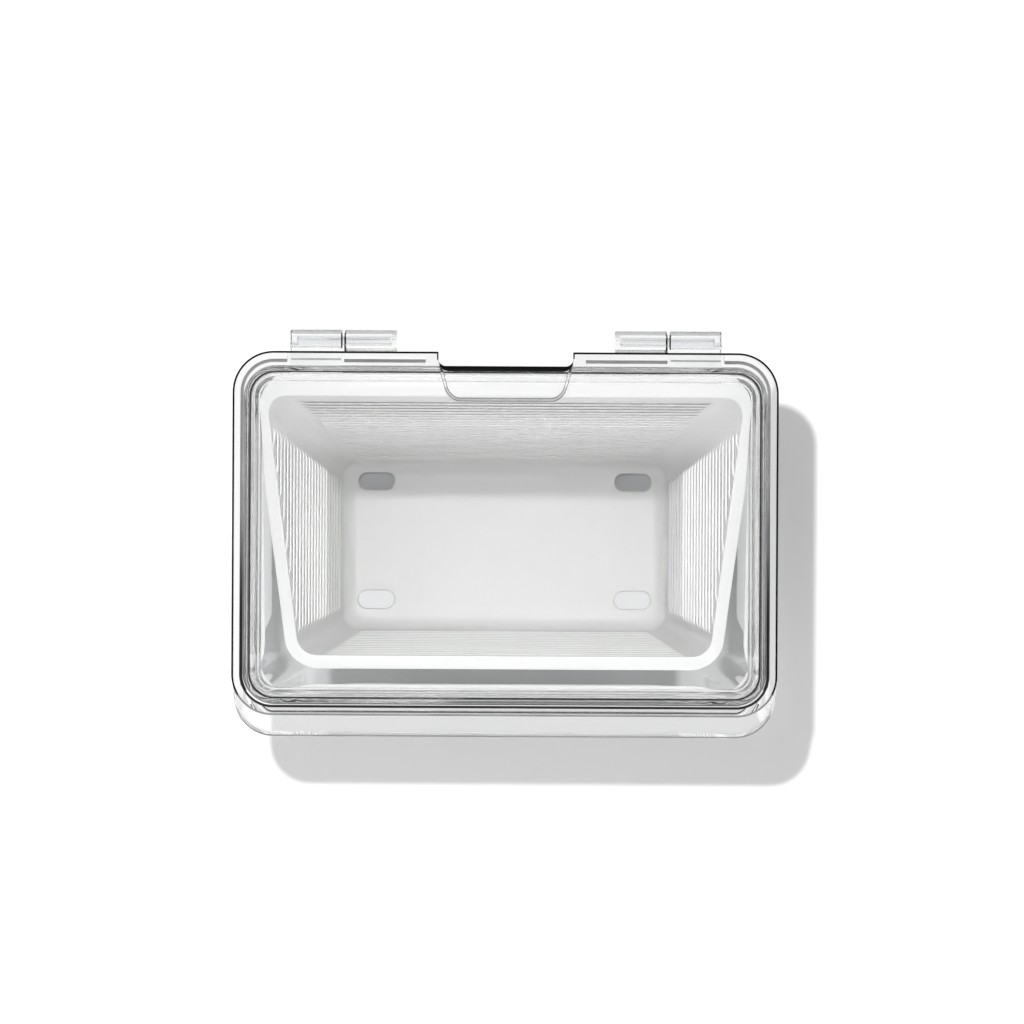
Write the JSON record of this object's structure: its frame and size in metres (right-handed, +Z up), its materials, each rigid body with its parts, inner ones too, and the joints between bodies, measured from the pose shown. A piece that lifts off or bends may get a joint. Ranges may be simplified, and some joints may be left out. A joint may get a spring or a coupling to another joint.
{
  "type": "herb keeper",
  "caption": "Tall clear herb keeper: tapered water container, flat hinged lid with a flared lift lip at the front, and a white ribbed lift-out basket with a sloping rim and drain slots.",
  "frame": {"origin": "middle of the flat base, on the surface that the keeper stands on", "axes": "+Z up, -Y to the front with the lift lip, +Y to the back with the hinges, +X to the right seen from the front"},
  "size_m": [0.145, 0.1089, 0.235],
  "materials": {
    "clear_body": "clear polished",
    "clear_lid": "clear polished",
    "white_basket": "satin",
    "hinge_pin": "clear polished"
  },
  "bodies": {
    "container": {"container": "clear_body", "hinge_pin_left": "hinge_pin", "hinge_pin_right": "hinge_pin"},
    "lid": {"lid": "clear_lid"},
    "basket": {"basket": "white_basket"}
  },
  "joints": [
    {"name": "lid_hinge", "type": "hinge", "parent": "container", "child": "lid", "pos_m": [0, 0.05165, 0.2308], "axis": [-1, 0, 0], "range_deg": [0, 180]},
    {"name": "basket_lift", "type": "slide", "parent": "container", "child": "basket", "axis": [0, 0, 1], "range_m": [0, 0.003]}
  ]
}
